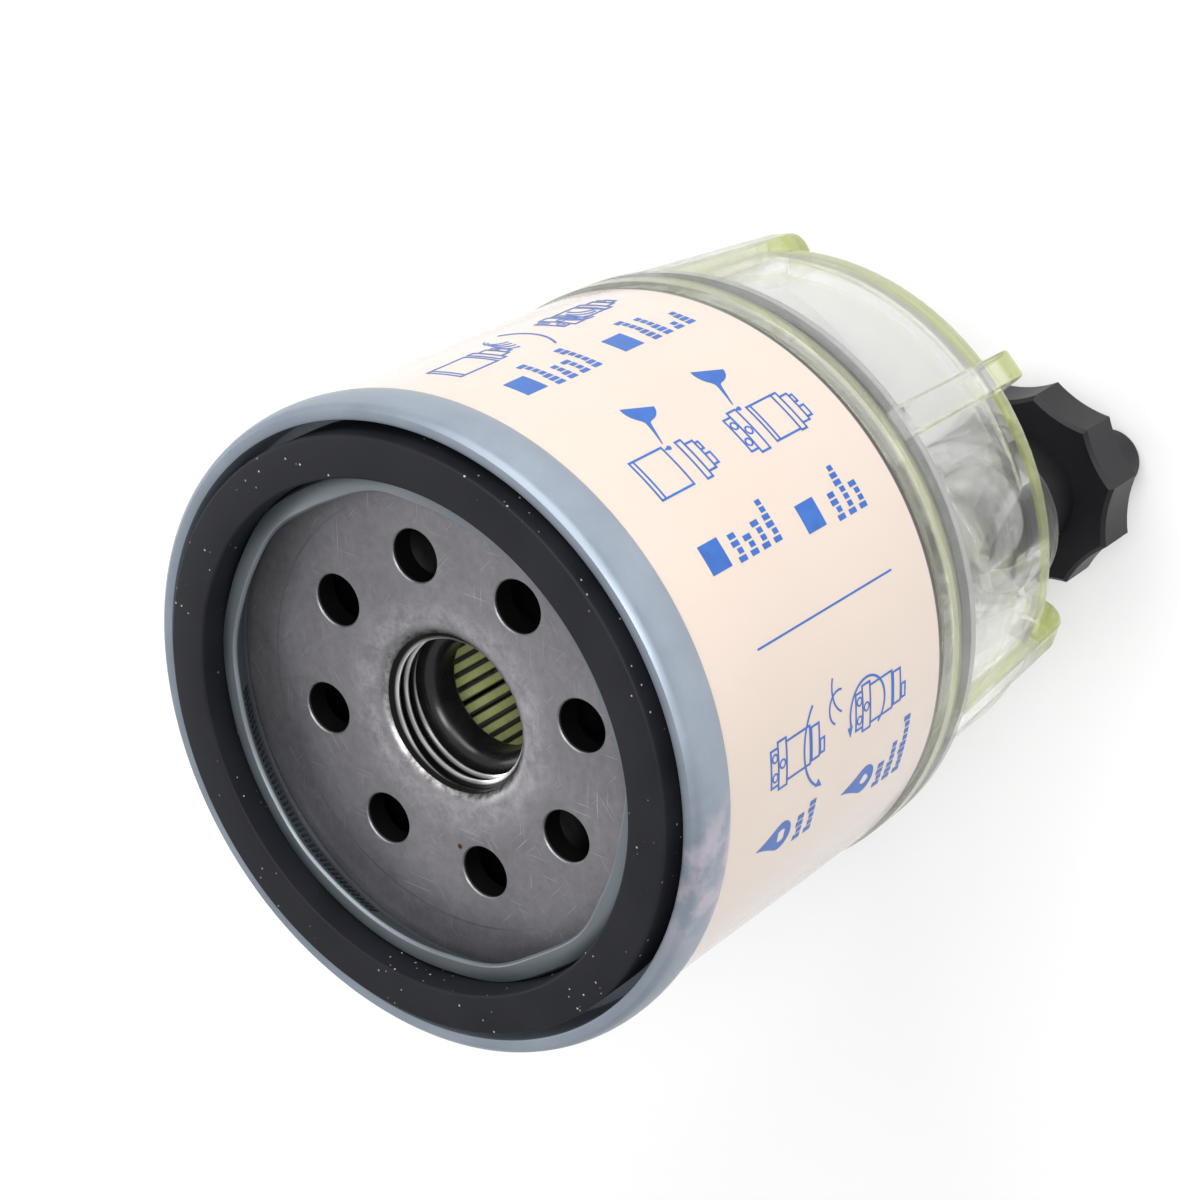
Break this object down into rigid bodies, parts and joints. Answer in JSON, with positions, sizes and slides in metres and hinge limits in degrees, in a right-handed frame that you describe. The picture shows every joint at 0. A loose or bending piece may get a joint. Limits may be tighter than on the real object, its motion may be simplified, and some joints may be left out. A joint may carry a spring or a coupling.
{
  "type": "fuel water separator",
  "caption": "Spin-on fuel filter and water separator: painted can with a pleated element, rubber-sealed threaded base and a clear ribbed bowl with a star-knob drain.",
  "frame": {"origin": "centre of the head thread at the base plate's outer face", "axes": "+Z out of the head thread, towards the filter head; the drain valve lies on the -Y side"},
  "size_m": [0.0782, 0.0782, 0.1181],
  "materials": {
    "can_paint": "gloss cream paint with blue print shapes",
    "zinc_sheet": "satin blue-grey zinc coated sheet",
    "plate_steel": "dark burnished steel with fine scratches",
    "black_rubber": "matte black rubber",
    "cap_steel": "plain tinned sheet",
    "filter_paper": "olive green pleated filter paper",
    "spring_wire": "drawn spring wire",
    "ring_alloy": "cast light alloy",
    "clear_plastic": "clear moulding with faint yellow-green edges",
    "black_plastic": "matte black moulded plastic"
  },
  "bodies": {
    "element": {"can_shell": "can_paint", "lid_retainer": "zinc_sheet", "base_plate": "plate_steel", "head_gasket": "black_rubber", "centre_grommet": "black_rubber", "upper_end_cap": "cap_steel", "pleated_media": "filter_paper", "pleat_clip": "cap_steel", "lower_end_cap": "cap_steel", "element_spring": "spring_wire", "support_plate": "cap_steel", "bowl_thread_ring": "ring_alloy"},
    "bowl_seal": {"bowl_o_ring": "black_rubber"},
    "bowl": {"bowl": "clear_plastic", "port_plug": "black_plastic", "port_plug_o_ring": "black_rubber"},
    "drain_seal": {"drain_o_ring": "black_rubber"},
    "drain": {"drain_valve": "black_plastic"}
  },
  "joints": [
    {"name": "bowl_travel", "type": "slide", "parent": "element", "child": "bowl_seal", "axis": [0, 0, -1], "range_m": [0, 0.006]},
    {"name": "bowl_turn", "type": "hinge", "parent": "bowl_seal", "child": "bowl", "pos_m": [0, 0, -0.044], "axis": [0, 0, -1], "range_deg": [0, 720]},
    {"name": "drain_travel", "type": "slide", "parent": "bowl", "child": "drain_seal", "axis": [0, 0, -1], "range_m": [0, 0.004]},
    {"name": "drain_turn", "type": "hinge", "parent": "drain_seal", "child": "drain", "pos_m": [-0.00223, -0.02279, -0.08], "axis": [0, 0, -1], "range_deg": [0, 720]}
  ],
  "couplings": [
    {"joint": "bowl_turn", "follows": "bowl_travel", "rad_per_m": 2094.4},
    {"joint": "drain_turn", "follows": "drain_travel", "rad_per_m": 3141.6}
  ]
}
